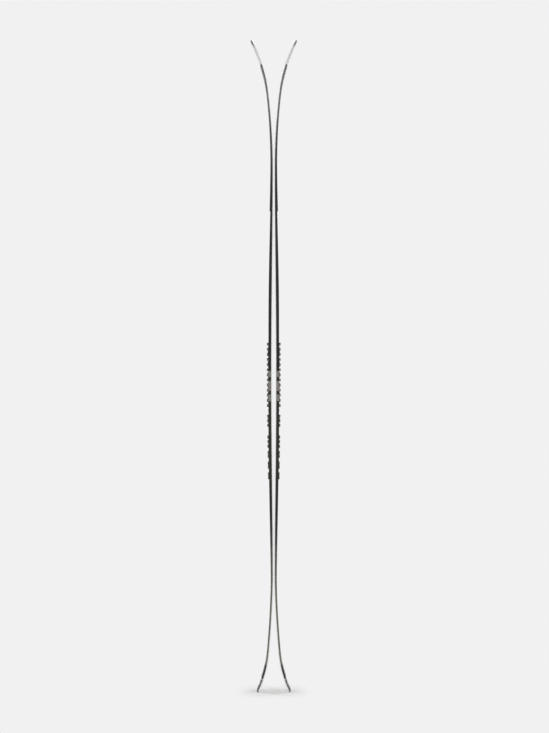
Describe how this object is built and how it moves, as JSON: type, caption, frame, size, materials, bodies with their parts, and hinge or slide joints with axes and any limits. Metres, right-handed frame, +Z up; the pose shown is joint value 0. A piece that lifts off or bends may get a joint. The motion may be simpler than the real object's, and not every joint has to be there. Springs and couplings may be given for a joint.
{
  "type": "pair of alpine skis",
  "caption": "Pair of rockered, cambered alpine skis standing base to base on their tails, with toothed binding tracks and no bindings.",
  "frame": {"origin": "middle of the pair at floor level, where the tails stand", "axes": "+Z up the skis from tail to tip, X from the left ski to the right ski, Y across the skis"},
  "size_m": [0.1278, 0.127, 1.8],
  "materials": {
    "sole": "pale sintered polyethylene with a ground structure",
    "edge_steel": "ground along the edge",
    "lower_laminate": "resin-bonded glass cloth",
    "upper_laminate": "dark anodised sheet",
    "core_wood": "planed laminated ash",
    "filler": "moulded filler",
    "sidewall": "milled dark plastic",
    "tip_insert": "moulded pale grey",
    "top_sheet": "satin",
    "end_piece": "moulded dark grey",
    "damper": "moulded hard rubber",
    "track": "moulded glass-filled plastic",
    "fastener": "zinc-plated"
  },
  "bodies": {
    "left_ski": {"left_base": "sole", "left_inside_edge": "edge_steel", "left_outside_edge": "edge_steel", "left_lower_laminate": "lower_laminate", "left_tail_filler": "filler", "left_core": "core_wood", "left_inside_sidewall": "sidewall", "left_outside_sidewall": "sidewall", "left_tip_filler": "filler", "left_tip_insert": "tip_insert", "left_upper_laminate": "upper_laminate", "left_top_sheet": "top_sheet", "left_tail_protector": "end_piece", "left_tip_protector": "end_piece", "left_shovel_damper": "damper", "left_tail_damper": "damper", "left_toe_track": "track", "left_heel_track": "track", "left_toe_screw_1": "fastener", "left_toe_screw_2": "fastener", "left_toe_screw_3": "fastener", "left_toe_screw_4": "fastener", "left_heel_screw_1": "fastener", "left_heel_screw_2": "fastener", "left_heel_screw_3": "fastener", "left_heel_screw_4": "fastener", "left_centre_stud": "fastener", "left_tail_rivet_1": "fastener", "left_tail_rivet_2": "fastener", "left_tip_rivet": "fastener"},
    "right_ski": {"right_base": "sole", "right_inside_edge": "edge_steel", "right_outside_edge": "edge_steel", "right_lower_laminate": "lower_laminate", "right_tail_filler": "filler", "right_core": "core_wood", "right_inside_sidewall": "sidewall", "right_outside_sidewall": "sidewall", "right_tip_filler": "filler", "right_tip_insert": "tip_insert", "right_upper_laminate": "upper_laminate", "right_top_sheet": "top_sheet", "right_tail_protector": "end_piece", "right_tip_protector": "end_piece", "right_shovel_damper": "damper", "right_tail_damper": "damper", "right_toe_track": "track", "right_heel_track": "track", "right_toe_screw_1": "fastener", "right_toe_screw_2": "fastener", "right_toe_screw_3": "fastener", "right_toe_screw_4": "fastener", "right_heel_screw_1": "fastener", "right_heel_screw_2": "fastener", "right_heel_screw_3": "fastener", "right_heel_screw_4": "fastener", "right_centre_stud": "fastener", "right_tail_rivet_1": "fastener", "right_tail_rivet_2": "fastener", "right_tip_rivet": "fastener"}
  },
  "joints": [
    {"name": "pull_apart", "type": "slide", "parent": "left_ski", "child": "right_ski", "axis": [1, 0, 0], "range_m": [0, 0.2]}
  ]
}
